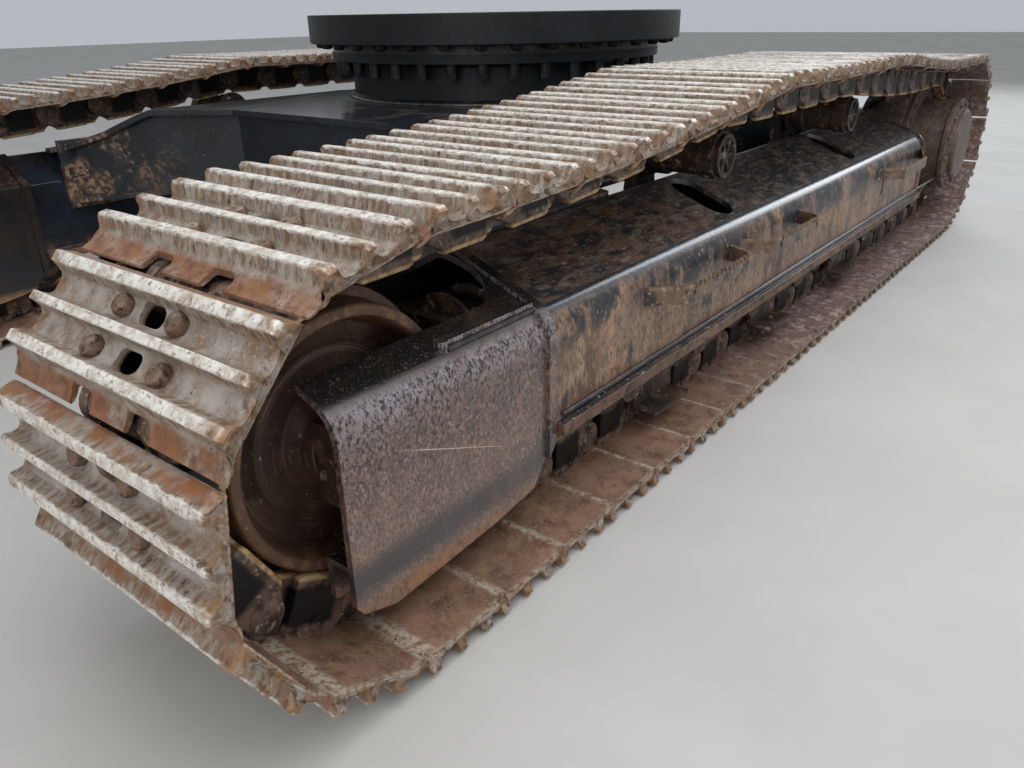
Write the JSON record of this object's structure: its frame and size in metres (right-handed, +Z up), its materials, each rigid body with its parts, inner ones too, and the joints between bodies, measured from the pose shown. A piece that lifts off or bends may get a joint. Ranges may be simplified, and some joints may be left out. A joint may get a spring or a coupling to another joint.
{
  "type": "crawler excavator undercarriage",
  "caption": "Crawler undercarriage with triple grouser tracks, box track frames, idlers, sprockets and final drives, an X shaped carbody and a bolted slewing ring.",
  "frame": {"origin": "on the ground under the swing axis, midway along the tracks", "axes": "+X towards the idlers, the front; +Y to the left track; +Z up along the swing axis"},
  "size_m": [4.8688, 2.99, 1.105],
  "materials": {
    "black_paint": "worn black paint over rusting steel",
    "track_steel": "rust brown with pale worn grouser tips",
    "rusty_steel": "dark rust brown",
    "cast_iron": "scuffed dark brown",
    "machined_steel": "greased machined steel"
  },
  "bodies": {
    "undercarriage": {"carbody": "black_paint", "leg_front_left": "black_paint", "leg_front_right": "black_paint", "leg_rear_left": "black_paint", "leg_rear_right": "black_paint", "neck": "black_paint", "flange_bolts": "black_paint", "inner_race": "machined_steel", "swivel_joint": "cast_iron", "track_left": "track_steel", "track_right": "track_steel", "track_frame_left": "black_paint", "track_frame_right": "black_paint", "front_guard_left": "black_paint", "front_guard_right": "black_paint", "bottom_rails_left": "rusty_steel", "bottom_rails_right": "rusty_steel", "steps_left": "black_paint", "steps_right": "black_paint", "track_rollers_left": "rusty_steel", "track_rollers_right": "rusty_steel", "track_guides_left": "black_paint", "track_guides_right": "black_paint", "carrier_rollers_left": "rusty_steel", "carrier_rollers_right": "rusty_steel", "idler_yoke_left": "cast_iron", "idler_yoke_right": "cast_iron", "recoil_spring_left": "rusty_steel", "recoil_spring_right": "rusty_steel", "sprocket_left": "rusty_steel", "sprocket_right": "rusty_steel", "final_drive_left": "rusty_steel", "final_drive_right": "rusty_steel", "travel_motor_left": "rusty_steel", "travel_motor_right": "rusty_steel"},
    "swing_ring": {"outer_race": "black_paint"},
    "idler_wheel_left": {"idler_left": "cast_iron"},
    "idler_wheel_right": {"idler_right": "cast_iron"}
  },
  "joints": [
    {"name": "swing", "type": "hinge", "parent": "undercarriage", "child": "swing_ring", "pos_m": [0, 0, 1.05], "axis": [0, 0, 1], "continuous": true},
    {"name": "idler_spin_left", "type": "hinge", "parent": "undercarriage", "child": "idler_wheel_left", "pos_m": [2.02306, 1.195, 0.426], "axis": [0, 1, 0], "continuous": true},
    {"name": "idler_spin_right", "type": "hinge", "parent": "undercarriage", "child": "idler_wheel_right", "pos_m": [2.02306, -1.195, 0.426], "axis": [0, 1, 0], "continuous": true}
  ]
}
